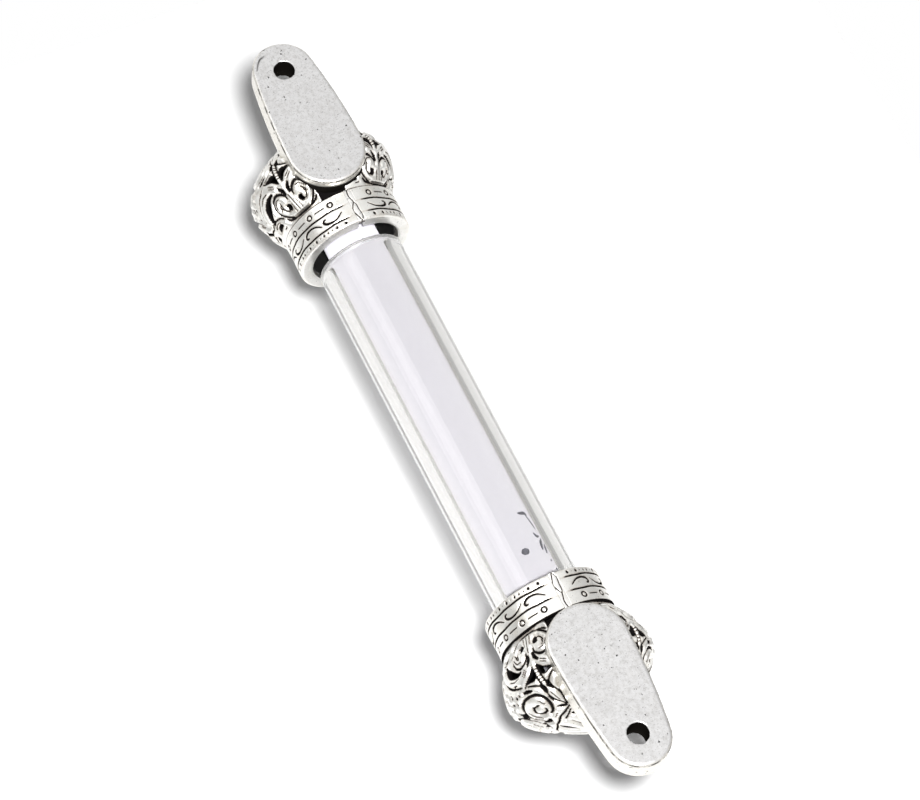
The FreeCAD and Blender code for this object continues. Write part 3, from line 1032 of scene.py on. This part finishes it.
def seam(cap, material):
    """The solder run between the band's ends: a proud leaf at the mouth that narrows to a line."""
    lengthways = np.linspace(0.02, COLLAR_LENGTH, SEAM_ROWS)
    sideways = np.linspace(-SEAM_HALF_DEG, SEAM_HALF_DEG, SEAM_COLUMNS)
    along, across = np.meshgrid(lengthways, sideways, indexing="ij")
    half = COLLAR_R * math.radians(SEAM_HALF_DEG)
    u = across / SEAM_HALF_DEG * half
    leaf = half * 0.86 * np.sin(np.pi * np.clip((along - 0.1) / 3.6, 0, 1)) ** 0.6
    middle_line = 0.12 * np.sin(along * 2.1) - 0.10 * ramp(along, 3.4, 6.4)
    crack = np.abs(np.abs(u - middle_line) - leaf) - 0.05
    dark = 1 - ramp(crack, -0.03, 0.10)
    swell = 0.14 * np.clip(1 - (u / half) ** 2, 0, 1) * (1 - ramp(along, 2.8, 4.2))
    swell -= 0.16 * dark
    outer = on_cap(cap, np.radians(SEAM_DEG + across), COLLAR_R + swell, along)
    inner = on_cap(cap, np.radians(SEAM_DEG + across), COLLAR_R - 0.9, along)
    points, faces = slab(outer, inner)
    made = new_object(f"{cap}_seam_solder", points, faces, [material])
    paint(made, "patina_and_shade", np.concatenate([dark.ravel(), np.full(dark.size, 0.6)]))
    face_outwards(made)
    return made


# ---------------------------------------------------------------------------------------------
# Camera, light and the white board that stands behind the case, as the camera sees it
# ---------------------------------------------------------------------------------------------
CAMERA_AZIMUTH = 162.63
CAMERA_ELEVATION = -23.05
CAMERA_ROLL = 28.10
CAMERA_DISTANCE = 0.5489
CAMERA_AIM = Vector((-0.00388, AXIS_Y, 0.00278))
CAMERA_LENS = 130.07
# The room's brightness as it is reflected: places from its -X side to its +X side, and greys.
ROOM_ACROSS = ((0.0, 0.50), (0.12, 0.80), (0.30, 1.02), (0.60, 1.02), (0.82, 0.80), (1.0, 0.55))
# The room's brightness as a source of light, from the wall's side and from the front.
ROOM_LIGHT = 0.12
FRONT_LIGHT = 2.1
BOARD_GAP = 40 * MM
BOARD_HALF = 125 * MM


def look(azimuth, elevation):
    """The direction from the case to a viewer, as in the other views: azimuth 0 looks along +Y."""
    a, e = math.radians(azimuth), math.radians(elevation)
    return Vector((math.sin(a) * math.cos(e), -math.cos(a) * math.cos(e), math.sin(e)))


def camera():
    """The scene's camera, turned about its own line of sight by CAMERA_ROLL."""
    data = bpy.data.cameras.new("camera")
    data.sensor_width = 36
    data.lens = CAMERA_LENS
    made = bpy.data.objects.new("camera", data)
    bpy.context.scene.collection.objects.link(made)
    back = look(CAMERA_AZIMUTH, CAMERA_ELEVATION)
    made.location = CAMERA_AIM + back * CAMERA_DISTANCE
    made.rotation_mode = "QUATERNION"
    level = (-back).to_track_quat("-Z", "Y")
    made.rotation_quaternion = level @ Quaternion((0, 0, 1), math.radians(-CAMERA_ROLL))
    bpy.context.scene.camera = made
    return made


def area_light(name, camera_object, direction, distance, size, power):
    """A soft light. Its direction from the case is given as right, up and towards the camera."""
    heading = (camera_object.rotation_quaternion @ Vector(direction)).normalized()
    data = bpy.data.lights.new(name, "AREA")
    data.shape = "DISK"
    data.size = size
    data.energy = power
    made = bpy.data.objects.new(name, data)
    made.location = Vector((0, AXIS_Y, 0)) + heading * distance
    made.rotation_mode = "QUATERNION"
    made.rotation_quaternion = (-heading).to_track_quat("-Z", "Y")
    bpy.context.scene.collection.objects.link(made)
    return made


def world():
    """A white room. As it is reflected it is darker towards both sides, so that the silver has
    something to reflect. As a source of light it is bright only on the side of the case's front."""
    made = bpy.data.worlds.new("studio")
    made.use_nodes = True
    n = Tree(made.node_tree)
    background = n.tree.nodes["Background"]
    background.inputs["Color"].default_value = (1, 1, 1, 1)
    parts = n.add("ShaderNodeSeparateXYZ")
    n.link(n.add("ShaderNodeTexCoord").outputs["Generated"], parts.inputs["Vector"])
    reflected = n.add("ShaderNodeValToRGB")
    n.link(n.stretch(parts.outputs["X"], -1, 1), reflected.inputs["Fac"])
    stops = reflected.color_ramp.elements
    for place, _ in ROOM_ACROSS[1:-1]:
        stops.new(place)
    for stop, (place, grey) in zip(stops, ROOM_ACROSS):
        stop.position = place
        stop.color = (grey, grey, grey, 1)
    lit = n.stretch(parts.outputs["Y"], -0.1, 0.1, FRONT_LIGHT, ROOM_LIGHT)
    path = n.add("ShaderNodeLightPath").outputs
    seen = n.choose(path["Is Camera Ray"], reflected.outputs["Color"], 1.0)
    n.link(n.choose(path["Is Diffuse Ray"], seen, lit), background.inputs["Strength"])
    bpy.context.scene.world = made


def board_material():
    """Plain white board, seen and lit from its front only."""
    n = Nodes("white_board")
    mottle = n.stretch(n.noise(40, 2, 0.5), 0.3, 0.7)
    n.link(n.blend(mottle, (0.975, 0.975, 0.975), (0.985, 0.985, 0.985)), n.shader.inputs["Base Color"])
    n.shader.inputs["Roughness"].default_value = 0.8
    n.shader.inputs["Specular IOR Level"].default_value = 0.2
    behind = n.add("ShaderNodeNewGeometry").outputs["Backfacing"]
    n.clear_where(behind, n.add("ShaderNodeBsdfTransparent"))
    return n.material


def board():
    """The board stands a little way in front of both crowns."""
    half = BOARD_HALF
    y = crown_low.y - BOARD_GAP
    corners = [(-half, y, -half), (-half, y, half), (half, y, half), (half, y, -half)]
    made = new_object("white_board", corners, [(0, 1, 2, 3)], [board_material()], smooth=False)
    made.visible_diffuse = False
    made.visible_shadow = False


# ---------------------------------------------------------------------------------------------
# Assembly
# ---------------------------------------------------------------------------------------------
def dress(node, material):
    """Gives a CAD node that stays its material."""
    piece = frame["nodes"][node]
    piece.data.materials.clear()
    piece.data.materials.append(material)


def stand_for(piece, node, body):
    """piece takes a CAD node's place on its body."""
    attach(piece, body)
    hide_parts(node)


silver = antique_silver("antique_silver", (0.88, 0.87, 0.84), (0.80, 0.79, 0.75), 0.0)
solder = antique_silver("solder_silver", (0.90, 0.89, 0.87), (0.82, 0.81, 0.79), 0.02)
satin = lug_silver()
acrylic = clear_acrylic()
sheet_paper = paper()
bush = black_plastic()

stand_for(tube(acrylic), "tube", "clear_tube")
stand_for(scroll(sheet_paper, ink()), "scroll", "rolled_scroll")
for cap in CAPS:
    body = f"{cap}_cap"
    stand_for(crown(cap, silver), f"{cap}_crown", body)
    stand_for(collar(cap, silver), f"{cap}_collar", body)
    stand_for(seam(cap, solder), f"{cap}_seam", body)
    stand_for(lug(cap, satin), f"{cap}_lug", body)
    dress(f"{cap}_seat", bush)

view_camera = camera()
area_light("key", view_camera, (0.042, 0.042, 1.0), distance=0.549, size=0.040, power=4.4)
area_light("softbox_edge", view_camera, (-0.64, 0.44, 0.63), distance=1.0, size=0.62, power=1.1)
area_light("softbox_heart", view_camera, (-0.64, 0.44, 0.63), distance=0.99, size=0.26, power=0.11)
world()
board()
bpy.context.scene.view_settings.view_transform = "Standard"
